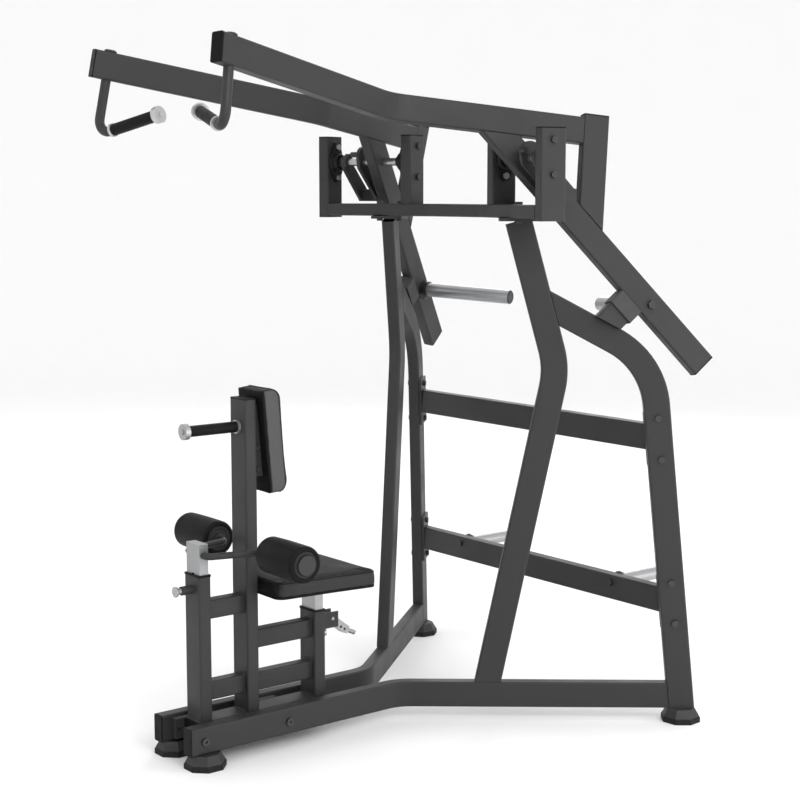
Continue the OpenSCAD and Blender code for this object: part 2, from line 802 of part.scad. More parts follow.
// Bent rod through the slider, carrying both roller pads.
module roller_bar() {
  y0 = knee_y + tube_d / 2;
  path = [[-roller_x - roller_len - 6, roller_y], [-100, roller_y], [-58, y0], [58, y0],
    [100, roller_y], [roller_x + roller_len + 6, roller_y]];
  color("#9b9da0") base() translate([0, 0, roller_z]) {
    rod(path, 24, 20);
    for (s = [-1, 1]) side(s) {
      translate([roller_x - 6, roller_y, 0]) rotate([0, 90, 0]) cylinder(d = 34, h = 5);
      translate([roller_x + roller_len + 1, roller_y, 0]) rotate([0, 90, 0]) cylinder(d = 56, h = 5);
    }
  }
}

module roller(s) {
  color("#232427") base() side(s) translate([roller_x, roller_y, roller_z]) rotate([0, 90, 0]) difference() {
    cylinder(d = roller_d, h = roller_len);
    translate([0, 0, -1]) cylinder(d = 19.9, h = roller_len + 2);
  }
}

module knee_pin() {
  color("#9b9da0") base() translate([0, 0, 456]) rotate([90, 0, 0]) {
    translate([0, 0, -knee_y - 16]) cylinder(d = 12, h = 54);
    translate([0, 0, -knee_y + 37]) cylinder(d = 17, h = 12);
    translate([0, 0, -knee_y + 48]) cylinder(d1 = 26, d2 = 31, h = 4);
    translate([0, 0, -knee_y + 52]) cylinder(d = 31, h = 4);
  }
}

// ---------- seat ----------

module seat_slider() {
  color("#9b9da0") base() {
    difference() {
      translate([0, seat_y + tube_d / 2, 170]) rotate([0, 0, 180]) slotted_bar(238, 13, 14, 150);
      for (k = [0 : 6]) translate([0, seat_y + 12, 312 - 20 * k]) rotate([-90, 0, 0]) cylinder(d = 12.2, h = 12);
    }
    translate([-80, 330, 408 + seam]) cube([160, 230, 6 - seam]);
  }
}

module seat_pad() {
  color("#232427") base() translate([0, 0, seat_pad_z]) linear_extrude(56) hull() {
    for (s = [-1, 1]) {
      translate([s * 103, 312]) circle(32, $fn = 32);
      translate([s * 150, 593]) circle(18, $fn = 32);
    }
  }
}

// Fork on the back of the seat post for the release lever.
module seat_bracket() {
  y0 = seat_y + tube_d;
  color("#2a2b2d") base() difference() {
    union() {
      translate([-22, y0, 226]) cube([44, 5, 96]);
      for (s = [-1, 1]) side(s) translate([16, y0 + 5, 268]) cube([6, 56, 48]);
    }
    translate([0, y0 - 1, 252]) rotate([-90, 0, 0]) cylinder(d = 12.1, h = 10);
    translate([-40, y0 + 40, 296]) rotate([0, 90, 0]) cylinder(d = 10.1, h = 80);
  }
}

module seat_lever() {
  y0 = seat_y + tube_d;
  color("#a4a6a8") base() {
    difference() {
      union() {
        translate([-24, y0 + 40, 296]) rotate([0, 90, 0]) cylinder(d = 10, h = 48);
        translate([-15, 0, 0]) rotate([90, 0, 90]) linear_extrude(30) seat_lever_2d(y0);
      }
      for (k = [0 : 2]) translate([-40, y0 + 62 + 14 * k, 272 - 9 * k]) rotate([0, 90, 0]) cylinder(d = 8, h = 80);
      translate([-9, 0, 0]) cube([18, y0 + 52, 300]);
    }
    translate([0, y0 + 94, 252]) rotate([-115, 0, 0]) cylinder(d = 14, h = 48);
  }
}

module seat_lever_2d(y0) {
  translate([y0 + 40, 296]) circle(12);
  translate([y0 + 96, 252]) circle(13);
  polygon([[y0 + 33, 286], [y0 + 48, 305], [y0 + 104, 262], [y0 + 88, 242]]);
}

module seat_pin() {
  y0 = seat_y + tube_d;
  color("#9b9da0") base() translate([0, y0, 252]) rotate([-90, 0, 0]) {
    translate([0, 0, -17]) cylinder(d = 12, h = 30);
    translate([0, 0, 13]) cylinder(d = 24, h = 12);
  }
}

// ---------- nodes ----------

base_rail(1);  // base_rail_left
base_rail(-1);  // base_rail_right
front_upright(1);  // front_upright_left
front_upright(-1);  // front_upright_right
rear_upright(1);  // rear_upright_left
rear_upright(-1);  // rear_upright_right
pivot_crossbar();
joint_plates();
upper_brace();
lower_brace();
frame_bolts();
storage_peg(1);  // storage_peg_left
storage_peg(-1);  // storage_peg_right
outer_posts();
inner_posts();
bearings(1);  // bearings_left
bearings(-1);  // bearings_right
bearing_bolts();
tube_caps();
bumper_stubs();
bumpers();
column_spine();
knee_post();
chest_post();
seat_post();
chest_bracket();
chest_bolts();
chest_pad();
chest_bar();
chest_grip();
foot_plates();
foot_pads();
seat_bracket();
arm_beam(1);  // arm_beam_left
arm_strut(1);  // arm_strut_left
weight_lever(1);  // weight_lever_left
pivot_shaft(1);  // pivot_shaft_left
shaft_brace(1);  // shaft_brace_left
weight_horn(1);  // weight_horn_left
handle(1);  // handle_left
handle_grip(1);  // handle_grip_left
arm_caps(1);  // arm_caps_left
arm_beam(-1);  // arm_beam_right
arm_strut(-1);  // arm_strut_right
weight_lever(-1);  // weight_lever_right
pivot_shaft(-1);  // pivot_shaft_right
shaft_brace(-1);  // shaft_brace_right
weight_horn(-1);  // weight_horn_right
handle(-1);  // handle_right
handle_grip(-1);  // handle_grip_right
arm_caps(-1);  // arm_caps_right
knee_slider();
roller_bar();
roller(1);  // roller_left
roller(-1);  // roller_right
knee_pin();
seat_slider();
seat_pad();
seat_lever();
seat_pin();
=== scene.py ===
"""Looks of a plate-loaded lat pulldown machine: finishes, upholstery, small fittings, studio.

Metres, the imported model's own frame: +Z up, the user faces -Y, +X is the user's left.
"""

import logging
import math
from dataclasses import dataclass, field
from enum import Enum
from typing import Any, Iterable, Optional, Sequence

import bpy
import numpy as np
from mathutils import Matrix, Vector

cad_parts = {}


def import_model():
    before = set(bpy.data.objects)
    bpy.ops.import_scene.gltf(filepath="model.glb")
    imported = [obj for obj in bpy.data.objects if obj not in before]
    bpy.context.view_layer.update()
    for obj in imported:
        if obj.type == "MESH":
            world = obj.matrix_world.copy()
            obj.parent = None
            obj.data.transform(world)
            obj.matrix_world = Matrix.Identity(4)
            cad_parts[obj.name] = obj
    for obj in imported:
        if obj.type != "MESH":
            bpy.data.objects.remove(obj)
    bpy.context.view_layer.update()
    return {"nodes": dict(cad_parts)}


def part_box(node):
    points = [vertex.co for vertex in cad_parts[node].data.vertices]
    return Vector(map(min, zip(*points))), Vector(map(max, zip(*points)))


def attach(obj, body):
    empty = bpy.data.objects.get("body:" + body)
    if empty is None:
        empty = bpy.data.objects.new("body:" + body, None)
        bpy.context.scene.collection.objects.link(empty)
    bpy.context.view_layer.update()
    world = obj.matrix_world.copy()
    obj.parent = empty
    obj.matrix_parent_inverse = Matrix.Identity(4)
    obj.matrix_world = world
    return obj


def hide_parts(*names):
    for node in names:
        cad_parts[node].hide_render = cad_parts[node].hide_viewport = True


LOG = logging.getLogger("machine")
Array = np.ndarray
Triple = tuple[float, float, float]
Material, Piece, Socket = bpy.types.Material, bpy.types.Object, bpy.types.NodeSocket

# Metres: the rails' front and underside in the model's frame.
FRONT_Y = -0.7863
FOOT_H = 0.042
# Millimetres and degrees from the rails' front and underside: the left shaft's middle and yaw,
# the fronts of the three column posts, the depth of a frame tube.
PIVOT = (374.0, 1002.5, 1679.0)
SHAFT_YAW = 17.0
KNEE_POST_Y, CHEST_POST_Y, SEAT_POST_Y = 72, 233, 472
TUBE_DEPTH = 40
# Points along each straight weld.
WELD_STEPS = 46


# ---------------------------------------------------------------- places

def shift(x: float, y: float, z: float) -> Array:
    """4x4 matrix that moves by millimetres."""
    m = np.eye(4)
    m[:3, 3] = np.array([x, y, z]) / 1000
    return m


def turn(axis: str, degrees: float) -> Array:
    """4x4 matrix that turns about x, y or z."""
    c, s = math.cos(math.radians(degrees)), math.sin(math.radians(degrees))
    i, j = {"x": (1, 2), "y": (2, 0), "z": (0, 1)}[axis]
    m = np.eye(4)
    m[i, i], m[j, j], m[i, j], m[j, i] = c, c, -s, s
    return m


def chain(*steps: Array) -> Array:
    """Product of the matrices, outermost first."""
    out = np.eye(4)
    for step in steps:
        out = out @ step
    return out


BASE = shift(0, FRONT_Y * 1000, FOOT_H * 1000)
MIRROR = np.diag([-1.0, 1.0, 1.0, 1.0])


class Side(Enum):
    """The two mirror-image halves of the machine."""

    LEFT = "left"
    RIGHT = "right"

    @property
    def matrix(self) -> Array:
        """Nothing for the left side, a mirror about the middle plane for the right."""
        return np.eye(4) if self is Side.LEFT else MIRROR


def arm_matrix() -> Array:
    """Plane of the left arm at its shaft: y backwards, z up."""
    return chain(BASE, shift(*PIVOT), turn("z", -SHAFT_YAW), shift(-34, 0, 0), turn("z", SHAFT_YAW),
                 turn("z", -22.5), turn("y", -8.5))


def handle_matrix() -> Array:
    """Grip of the left handle: x along the grip towards its end knob."""
    across, along = 664 * math.sin(math.radians(36.9)), 664 * math.cos(math.radians(36.9))
    return chain(arm_matrix(), turn("x", -6.1), shift(across, -412 - along, 104 - 40 - 160),
                 turn("z", -172), turn("y", -20))


def horn_matrix() -> Array:
    """Weight horn on the left lever: x along the horn."""
    drop = math.radians(48.5)
    return chain(arm_matrix(), shift(0, 590 * math.cos(drop), -590 * math.sin(drop)), turn("y", 5.5))


# ---------------------------------------------------------------- shader maths

class Value:
    """A shader socket that is written like a number; each operation adds a Math node."""

    def __init__(self, graph: "Graph", socket: Socket) -> None:
        """Keeps the socket and the graph that it belongs to."""
        self.graph = graph
        self.socket = socket

    def maths(self, operation: str, *others: Any, first: Any = None) -> "Value":
        """One Math node.

        Args:
            operation: the node's operation.
            others: the other operands, numbers or values.
            first: an operand that comes before this value.

        Returns:
            The node's result.
        """
        operands = ([self] if first is None else [first, self]) + list(others)
        node = self.graph.node("ShaderNodeMath", {"operation": operation}, dict(enumerate(operands)))
        return Value(self.graph, node.outputs[0])

    def __add__(self, other: Any) -> "Value":
        """Sum."""
        return self.maths("ADD", other)

    __radd__ = __add__

    def __mul__(self, other: Any) -> "Value":
        """Product."""
        return self.maths("MULTIPLY", other)

    __rmul__ = __mul__

    def __sub__(self, other: Any) -> "Value":
        """Difference."""
        return self.maths("SUBTRACT", other)

    def __rsub__(self, other: Any) -> "Value":
        """Difference from a number."""
        return self.maths("SUBTRACT", first=other)

    def __gt__(self, other: Any) -> "Value":
        """One where this is greater, else nought."""
        return self.maths("GREATER_THAN", other)

    def __lt__(self, other: Any) -> "Value":
        """One where this is less, else nought."""
        return self.maths("LESS_THAN", other)

    def sine(self) -> "Value":
        """Sine of the value."""
        return self.maths("SINE")

    def power(self, exponent: float) -> "Value":
        """The value raised to a power."""
        return self.maths("POWER", exponent)

    def ramp(self, low: float, high: float, out_low: float = 0.0, out_high: float = 1.0) -> "Value":
        """Smooth step from out_low at low to out_high at high."""
        node = self.graph.node("ShaderNodeMapRange", {"interpolation_type": "SMOOTHSTEP"},
                               {"Value": self, "From Min": low, "From Max": high,
                                "To Min": out_low, "To Max": out_high})
        return Value(self.graph, node.outputs["Result"])


class Graph:
    """The node tree of one material."""

    def __init__(self, name: str) -> None:
        """Starts an empty tree with an output and object coordinates."""
        self.material = bpy.data.materials.new(name)
        self.material.use_nodes = True
        self.tree = self.material.node_tree
        self.tree.nodes.clear()
        self.out = self.node("ShaderNodeOutputMaterial")
        self.place = self.node("ShaderNodeTexCoord").outputs["Object"]

    def node(self, kind: str, settings: Optional[dict[str, Any]] = None,
             inputs: Optional[dict[Any, Any]] = None) -> bpy.types.Node:
        """Adds a node.

        Args:
            kind: the node's type.
            settings: attributes, set before the sockets.
            inputs: numbers, colours, sockets or values by socket name or number.

        Returns:
            The node.
        """
        made = self.tree.nodes.new(kind)
        for key, value in (settings or {}).items():
            setattr(made, key, value)
        for key, value in (inputs or {}).items():
            source = value.socket if isinstance(value, Value) else value
            if isinstance(source, Socket):
                self.tree.links.new(source, made.inputs[key])
            else:
                made.inputs[key].default_value = source
        return made

    def scaled(self, scale: Sequence[float]) -> Socket:
        """Object coordinates scaled."""
        return self.node("ShaderNodeMapping", {"vector_type": "POINT"},
                         {"Vector": self.place, "Scale": tuple(scale)}).outputs[0]

    def along(self, direction: Sequence[float], origin: Sequence[float]) -> Value:
        """Distance along a direction from a point, in metres."""
        dot = self.node("ShaderNodeVectorMath", {"operation": "DOT_PRODUCT"},
                        {0: self.place, 1: floats(direction)})
        return Value(self, dot.outputs["Value"]) - float(np.dot(direction, origin))

    def noise(self, scale: float, detail: float = 2.0, rough: float = 0.5,
              vector: Optional[Socket] = None) -> Value:
        """Fractal noise from 0 to 1."""
        made = self.node("ShaderNodeTexNoise", {}, {"Vector": vector or self.place, "Scale": scale,
                                                    "Detail": detail, "Roughness": rough})
        return Value(self, made.outputs[0])

    def rings(self, where: Value, scale: float, detail: float = 3.0) -> Value:
        """Noise that changes along one direction only, like tool marks round a turned bar."""
        made = self.node("ShaderNodeTexNoise", {"noise_dimensions": "1D"},
                         {"W": where, "Scale": scale, "Detail": detail, "Roughness": 0.6})
        return Value(self, made.outputs[0])

    def cells(self, scale: float) -> Value:
        """Cell pattern: distance to the nearest edge between cells."""
        made = self.node("ShaderNodeTexVoronoi", {"feature": "DISTANCE_TO_EDGE"},
                         {"Vector": self.place, "Scale": scale})
        return Value(self, made.outputs["Distance"])

    def blend(self, factor: Any, low: Any, high: Any) -> Socket:
        """Colour mix of two colours by a factor."""
        def tone(value: Any) -> Any:
            """A colour with its alpha, or the socket unchanged."""
            return value if isinstance(value, Socket) else (*value, 1.0)
        mix = self.node("ShaderNodeMix", {"data_type": "RGBA"}, {0: factor, 6: tone(low), 7: tone(high)})
        return mix.outputs[2]

    def bump(self, height: Value, strength: float, distance: float) -> Socket:
        """Bump from a height."""
        inputs = {"Height": height, "Strength": strength, "Distance": distance}
        return self.node("ShaderNodeBump", {}, inputs).outputs[0]

    def edges(self, radius: float) -> Value:
        """Nought on flats, towards one where the surface turns sharply within a radius."""
        soft = self.node("ShaderNodeBevel", {"samples": 4}, {"Radius": radius}).outputs[0]
        hard = self.node("ShaderNodeNewGeometry").outputs["Normal"]
        dot = self.node("ShaderNodeVectorMath", {"operation": "DOT_PRODUCT"}, {0: soft, 1: hard})
        return (1 - Value(self, dot.outputs["Value"])).ramp(0.01, 0.12)

    def finish(self, **inputs: Any) -> Material:
        """Closes the tree with a Principled shader; underscores stand for spaces in socket names."""
        named = {key.replace("_", " "): value for key, value in inputs.items()}
        shader = self.node("ShaderNodeBsdfPrincipled", {}, named)
        self.tree.links.new(shader.outputs[0], self.out.inputs[0])
        return self.material


# ---------------------------------------------------------------- finishes

def shade(colour: Sequence[float], factor: float) -> tuple[float, ...]:
    """A colour made darker or lighter by a factor."""
    return tuple(c * factor for c in colour)


def floats(values: Iterable[float]) -> tuple[float, ...]:
    """An array's values as plain numbers."""
    return tuple(float(v) for v in values)


@dataclass(frozen=True)
class PowderCoat:
    """Satin powder coat over steel tube: fine orange peel, faint mottling, paler edges that are a painted
    highlight broken into rubbed patches.
    """

    name: str = "charcoal_powder_coat"
    colour: Triple = (0.0265, 0.0265, 0.0272)
    # Paler edge colour: a painted edge highlight, also standing for rubbed paint.
    rub_and_edge_highlight: Triple = (0.054, 0.054, 0.055)
    peel: float = 650.0

    def material(self) -> Material:
        """Builds the material."""
        g = Graph(self.name)
        mottle = g.noise(7.0, 3.0)
        grit = g.noise(260.0, 2.0, 0.6)
        # Painted highlight along the edges, broken up by noise into rubbed patches.
        edge = g.edges(0.0035) * g.noise(38.0, 3.0, 0.65).ramp(0.42, 0.66, 0.10, 0.75)
        coat = g.blend(mottle * 0.6 + grit * 0.4, shade(self.colour, 0.84),
                       shade(self.colour, 1.17))
        height = g.noise(self.peel, 2.0, 0.5) + g.noise(2100.0, 1.0) * 0.35
        return g.finish(Base_Color=g.blend(edge, coat, self.rub_and_edge_highlight),
                        Roughness=mottle.ramp(0.3, 0.7, 0.43, 0.55) + grit * 0.05 - edge * 0.06,
                        Normal=g.bump(height, 0.32, 0.00035), Metallic=0.0, Specular_IOR_Level=0.29)


@dataclass(frozen=True)
class TurnedSteel:
    """Plated round bar with fine tool marks round its axis.

    The plating shows between the two bare distances along the axis from the origin, and the
    rest is coated black. On a mirrored pair it shows within the second bare distance of the
    origin's x, on either side of the machine.
    """

    name: str
    axis: Triple
    colour: Triple = (0.40, 0.405, 0.415)
    rough: float = 0.40
    origin: Triple = (0.0, 0.0, 0.0)
    bare: tuple[float, float] = (-9.0, 9.0)
    mirrored: bool = False
    coat: Triple = (0.016, 0.016, 0.017)

    def material(self) -> Material:
        """Builds the material."""
        g = Graph(self.name)
        where = g.along(self.axis, self.origin)
        if self.mirrored:
            across = g.along((1, 0, 0), (0, 0, 0))
            reach = (across * across).power(0.5) - self.origin[0]
            steel = (reach * reach < self.bare[1] ** 2) * 1.0
        else:
            steel = (where > self.bare[0]) * (where < self.bare[1])
        marks = g.rings(where, 900.0)
        cloud = g.noise(14.0, 3.0)
        rub = g.rings(where, 60.0, 4.0).ramp(0.45, 0.7)
        plated = g.blend(cloud * 0.6 + marks * 0.4, shade(self.colour, 0.82),
                         shade(self.colour, 1.1))
        rough = marks.ramp(0.25, 0.8, self.rough - 0.07, self.rough + 0.12) + rub * 0.05
        return g.finish(Base_Color=g.blend(steel, self.coat, plated), Metallic=steel * 0.92,
                        Roughness=rough, Normal=g.bump(marks, 0.22, 0.0002))


@dataclass(frozen=True)
class BrushedSteel:
    """Flat plated steel brushed along one of the object's axes."""

    name: str = "brushed_plated_steel"
    stretch: Triple = (900.0, 900.0, 12.0)
    colour: Triple = (0.336, 0.339, 0.345)

    def material(self) -> Material:
        """Builds the material."""
        g = Graph(self.name)
        grain = g.noise(1.0, 3.0, 0.6, g.scaled(self.stretch))
        cloud = g.noise(18.0, 3.0)
        scuff = g.noise(1.0, 2.0, 0.5, g.scaled(tuple(s * 0.2 for s in self.stretch))).ramp(0.58, 0.7)
        return g.finish(Base_Color=g.blend(grain * 0.5 + cloud * 0.5, shade(self.colour, 0.84),
                                           shade(self.colour, 1.1)),
                        Metallic=0.88, Roughness=grain.ramp(0.2, 0.8, 0.30, 0.46) + scuff * 0.08,
                        Normal=g.bump(grain, 0.18, 0.0002))


@dataclass(frozen=True)
class HandleFinish:
    """Coated handle rod whose collar and end knob are bare plated steel."""

    name: str
    axis: Triple
    origin: Triple
    start: float = 0.060
    reach: float = 0.030

    def material(self) -> Material:
        """Builds the material: steel past the start of the grip run and within reach of its axis."""
        g = Graph(self.name)
        where = g.along(self.axis, self.origin)
        offset = g.node("ShaderNodeVectorMath", {"operation": "DISTANCE"}, {0: g.place, 1: self.origin})
        away = Value(g, offset.outputs["Value"])
        bare = (where > self.start) * ((away * away - where * where) < self.reach ** 2)
        mottle, marks = g.noise(20.0, 3.0), g.rings(where, 700.0)
        coat = g.blend(mottle, (0.022, 0.022, 0.023), (0.031, 0.031, 0.032))
        steel = g.blend(marks, (0.42, 0.425, 0.435), (0.60, 0.605, 0.61))
        peel = g.noise(650.0, 2.0)
        return g.finish(Base_Color=g.blend(bare, coat, steel), Metallic=bare * 0.9,
                        Roughness=mottle.ramp(0.3, 0.7, 0.40, 0.5) - bare * 0.12,
                        Normal=g.bump(peel * (1 - bare) + marks * bare, 0.25, 0.0003),
                        Specular_IOR_Level=0.29)


@dataclass(frozen=True)
class BlackCasting:
    """Black enamel over sand-cast iron, a little worn on its edges."""

    name: str = "black_casting"

    def material(self) -> Material:
        """Builds the material."""
        g = Graph(self.name)
        lump, sand = g.noise(90.0, 3.0), g.noise(520.0, 2.0, 0.65)
        edge = g.edges(0.0025) * g.noise(120.0).ramp(0.45, 0.62)
        enamel = g.blend(lump, (0.006, 0.006, 0.006), (0.014, 0.014, 0.015))
        return g.finish(Base_Color=g.blend(edge, enamel, (0.05, 0.05, 0.051)),
                        Roughness=sand.ramp(0.3, 0.7, 0.36, 0.54),
                        Normal=g.bump(lump + sand * 0.5, 0.4, 0.0005), Specular_IOR_Level=0.15)


@dataclass(frozen=True)
class Rubber:
    """Black moulded rubber: matt, finely pitted, paler where it is scuffed."""

    name: str = "black_rubber"
    colour: Triple = (0.008, 0.008, 0.008)

    def material(self) -> Material:
        """Builds the material."""
        g = Graph(self.name)
        dust, pits = g.noise(26.0, 4.0, 0.6), g.noise(850.0, 2.0, 0.6)
        dusty = tuple(c * 1.5 + 0.006 for c in self.colour)
        return g.finish(Base_Color=g.blend(dust.ramp(0.5, 0.75, 0.0, 0.55), self.colour, dusty),
                        Roughness=dust.ramp(0.3, 0.7, 0.62, 0.8), Normal=g.bump(pits, 0.35, 0.0003),
                        Specular_IOR_Level=0.25)


@dataclass(frozen=True)
class GripRubber:
    """Black rubber sleeve with fine moulded rings round its axis."""

    name: str
    axis: Triple
    pitch: float = 0.0045

    def material(self) -> Material:
        """Builds the material; rings are a sine of the distance along the axis."""
        g = Graph(self.name)
        ring = (g.along(self.axis, (0, 0, 0)) * (2 * math.pi / self.pitch)).sine().ramp(-0.3, 0.7)
        grime = g.noise(34.0, 3.0)
        colour = g.blend(grime.ramp(0.45, 0.75) * 0.5, (0.006, 0.006, 0.006), (0.016, 0.016, 0.017))
        return g.finish(Base_Color=colour,
                        Roughness=grime.ramp(0.3, 0.7, 0.48, 0.62), Specular_IOR_Level=0.12,
                        Normal=g.bump(ring + g.noise(900.0, 2.0) * 0.25, 0.5, 0.0006))


@dataclass(frozen=True)
class CapPlastic:
    """Black moulded plastic with a spark-eroded texture."""

    name: str = "black_cap_plastic"
    low: Triple = (0.005, 0.005, 0.005)
    high: Triple = (0.013, 0.013, 0.014)

    def material(self) -> Material:
        """Builds the material."""
        g = Graph(self.name)
        spark, cloud = g.noise(700.0, 3.0, 0.6), g.noise(30.0, 3.0)
        edge = g.edges(0.002)
        return g.finish(Base_Color=g.blend(cloud * 0.5 + edge * 0.5, self.low, self.high),
                        Roughness=cloud.ramp(0.3, 0.7, 0.42, 0.56), Normal=g.bump(spark, 0.3, 0.00025),
                        Specular_IOR_Level=0.07)


@dataclass(frozen=True)
class Vinyl:
    """Upholstery vinyl: leather grain, fine pores, soft creases, satin wear."""

    name: str = "black_upholstery_vinyl"
    colour: Triple = (0.0075, 0.0075, 0.0079)
    # Paler colour painted on the sides that face left and right: painted light, as if lit from the side.
    painted_side_light: Triple = (0.082, 0.082, 0.083)

    def material(self) -> Material:
        """Builds the material; grain is two scales of cells, and the sides facing left and right get a paler
        painted light.
        """
        g = Graph(self.name)
        grain = g.cells(420.0).ramp(0.0, 0.22)
        pebble = g.cells(170.0).ramp(0.0, 0.3)
        crease = g.noise(9.0, 4.0, 0.6)
        worn = g.noise(5.5, 3.0).ramp(0.42, 0.68)
        colour = g.blend(grain * 0.6 + worn * 0.4, shade(self.colour, 0.7),
                         shade(self.colour, 1.35))
        height = grain * 0.6 + pebble * 0.5 + crease * 1.2
        # Painted light: the mesh's mark of the sides facing left and right blends the colour towards the
        # paler one.
        painted_light = Value(g, g.node("ShaderNodeAttribute", {"attribute_name": "painted_side_light"}).outputs["Fac"])
        colour = g.blend(painted_light, colour, self.painted_side_light)
        return g.finish(Base_Color=colour, Roughness=worn.ramp(0, 1, 0.50, 0.42) + (1 - grain) * 0.10,
                        Normal=g.bump(height, 0.38, 0.0006), Specular_IOR_Level=0.09)


@dataclass(frozen=True)
class Thread:
    """Twisted polyester stitching thread."""

    name: str = "seam_thread"

    def material(self) -> Material:
        """Builds the material."""
        g = Graph(self.name)
        twist = g.noise(1900.0, 1.0)
        return g.finish(Base_Color=g.blend(twist, (0.012, 0.012, 0.013), (0.03, 0.03, 0.031)),
                        Roughness=twist.ramp(0.3, 0.7, 0.6, 0.75), Normal=g.bump(twist, 0.3, 0.0002))


@dataclass(frozen=True)
class StudioFloor:
    """Pale studio floor."""

    name: str = "studio_floor"

    def material(self) -> Material:
        """Builds the material."""
        g = Graph(self.name)
        tone = g.blend(g.noise(3.0, 4.0), (0.90, 0.90, 0.90), (0.92, 0.92, 0.92))
        return g.finish(Base_Color=tone, Roughness=0.9, Specular_IOR_Level=0.1)


# ---------------------------------------------------------------- surfaces

def make_piece(name: str, points: Array, faces: list[Array], material: Material,
               smooth: bool = True) -> Piece:
    """Puts computed points and faces into a mesh object at the origin.

    Args:
        name: the piece's name.
        points: (n, 3) places in metres.
        faces: arrays of shape (m, 4) or (m, 3).
        material: the finish.
        smooth: whether the shading is smooth.

    Returns:
        The object, linked to the scene.
    """
    mesh = bpy.data.meshes.new(name)
    mesh.from_pydata(points.reshape(-1, 3), [], [tuple(f) for block in faces for f in block.tolist()])
    mesh.polygons.foreach_set("use_smooth", np.full(len(mesh.polygons), smooth))
    mesh.materials.append(material)
    mesh.update()
    piece = bpy.data.objects.new(name, mesh)
    bpy.context.scene.collection.objects.link(piece)
    return piece


def grid_faces(rows: int, columns: int, wrap_rows: bool) -> Array:
    """Quads of a grid whose columns wrap round, and whose rows may wrap too."""
    r = np.arange(rows if wrap_rows else rows - 1)[:, None]
    c = np.arange(columns)[None, :]
    r2, c2 = (r + 1) % rows, (c + 1) % columns
    quad = np.stack([r * columns + c, r * columns + c2, r2 * columns + c2, r2 * columns + c], -1)
    return quad.reshape(-1, 4)


def end_fans(rows: int, columns: int, tip: int) -> list[Array]:
    """Triangles that close a grid's first and last rings onto the points tip and tip + 1."""
    first = np.arange(columns)
    last = first + (rows - 1) * columns
    return [np.stack([np.roll(first, -1), first, np.full(columns, tip)], 1),
            np.stack([last, np.roll(last, -1), np.full(columns, tip + 1)], 1)]


def sweep(path: Array, radius: Array, around: int, closed: bool) -> tuple[Array, list[Array]]:
    """Round tube along a path.

    Formula: at each path point a circle of the given radius lies in the plane across the
    path's direction; its two axes come from the direction crossed with a fixed vector.

    Args:
        path: (n, 3) points.
        radius: radius at each point.
        around: points in each circle.
        closed: whether the path's end meets its start.

    Returns:
        Points and faces.
    """
    ahead, behind = np.roll(path, -1, 0), np.roll(path, 1, 0)
    if not closed:
        ahead[-1], behind[0] = path[-1], path[0]
    along = ahead - behind
    along /= np.linalg.norm(along, axis=1, keepdims=True)
    fixed = np.array([0.31, 0.17, 0.94])
    u = np.cross(along, fixed)
    u /= np.linalg.norm(u, axis=1, keepdims=True)
    v = np.cross(along, u)
    a = np.linspace(0, 2 * np.pi, around, endpoint=False)
    ring = np.cos(a)[None, :, None] * u[:, None] + np.sin(a)[None, :, None] * v[:, None]
    points = path[:, None] + ring * np.asarray(radius)[:, None, None]
    blocks = [grid_faces(len(path), around, closed)]
    points = points.reshape(-1, 3)
    if not closed:
        blocks += end_fans(len(path), around, len(points))
        points = np.vstack([points, path[0], path[-1]])
    return points, blocks


def revolve(profile: Array, around: int, ripple: Optional[Array] = None) -> tuple[Array, list[Array]]:
    """Ring made by turning a closed profile about the x axis.

    Formula: each profile point (x, r) becomes a circle of radius r at x; ripple adds to r.

    Args:
        profile: (n, 2) points, distance along the axis and radius.
        around: points in each circle.
        ripple: (n, around) change of radius.

    Returns:
        Points and faces.
    """
    a = np.linspace(0, 2 * np.pi, around, endpoint=False)
    r = profile[:, 1:2] + (0 if ripple is None else ripple)
    x, r = (np.broadcast_to(v, (len(profile), around)) for v in (profile[:, 0:1], r))
    points = np.stack([x, r * np.cos(a), r * np.sin(a)], -1)
    return points.reshape(-1, 3), [grid_faces(len(profile), around, True)]


def moved(points: Array, matrix: Array) -> Array:
    """Points taken through a 4x4 matrix."""
    return points.reshape(-1, 3) @ matrix[:3, :3].T + matrix[:3, 3]


def outward(piece: Piece) -> Piece:
    """Turns every face outwards when the closed mesh has a negative volume.

    Formula: the signed volume is a sixth of the sum of each triangle's triple product.
    """
    mesh = piece.data
    mesh.calc_loop_triangles()
    corners = np.empty(len(mesh.loop_triangles) * 3, np.int32)
    mesh.loop_triangles.foreach_get("vertices", corners)
    co = np.empty(len(mesh.vertices) * 3)
    mesh.vertices.foreach_get("co", co)
    a, b, c = co.reshape(-1, 3)[corners.reshape(-1, 3)].transpose(1, 0, 2)
    if np.einsum("ij,ij->i", a, np.cross(b, c)).sum() < 0:
        mesh.flip_normals()
    return piece


# ---------------------------------------------------------------- upholstery

